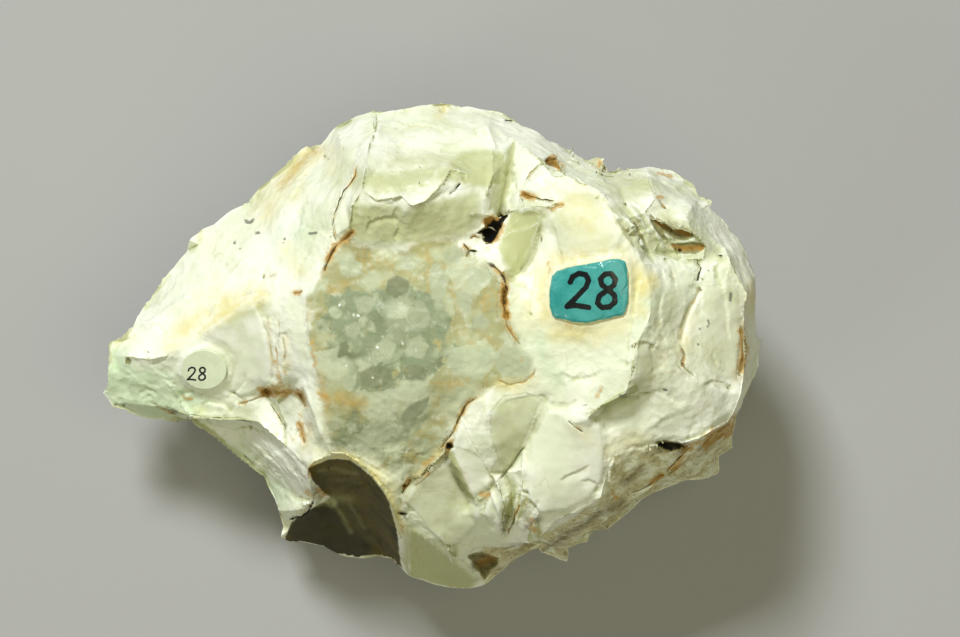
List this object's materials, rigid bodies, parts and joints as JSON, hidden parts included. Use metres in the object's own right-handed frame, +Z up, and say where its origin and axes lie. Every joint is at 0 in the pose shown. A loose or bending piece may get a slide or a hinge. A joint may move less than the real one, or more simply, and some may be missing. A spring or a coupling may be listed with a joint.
{
  "type": "chert specimen",
  "caption": "Hand specimen of pale flaked chert with a tapering prong, rusty cracks, a grey breccia patch, a round paper number label and a teal enamel number patch.",
  "frame": {"origin": "centre of the bounding box in plan, at the height of the flat spot that the stone rests on", "axes": "+X along the stone's length, away from the tip of the prong; +Y from the brown hollow towards the top block; +Z up, through the numbered face"},
  "size_m": [0.122, 0.09, 0.06],
  "materials": {
    "chert_stone": "waxy, freshly flaked",
    "label_paper": "matt",
    "teal_enamel": "glossy"
  },
  "bodies": {
    "root": {"chert_body": "chert_stone", "paper_disc": "label_paper", "enamel_patch": "teal_enamel"}
  },
  "joints": []
}
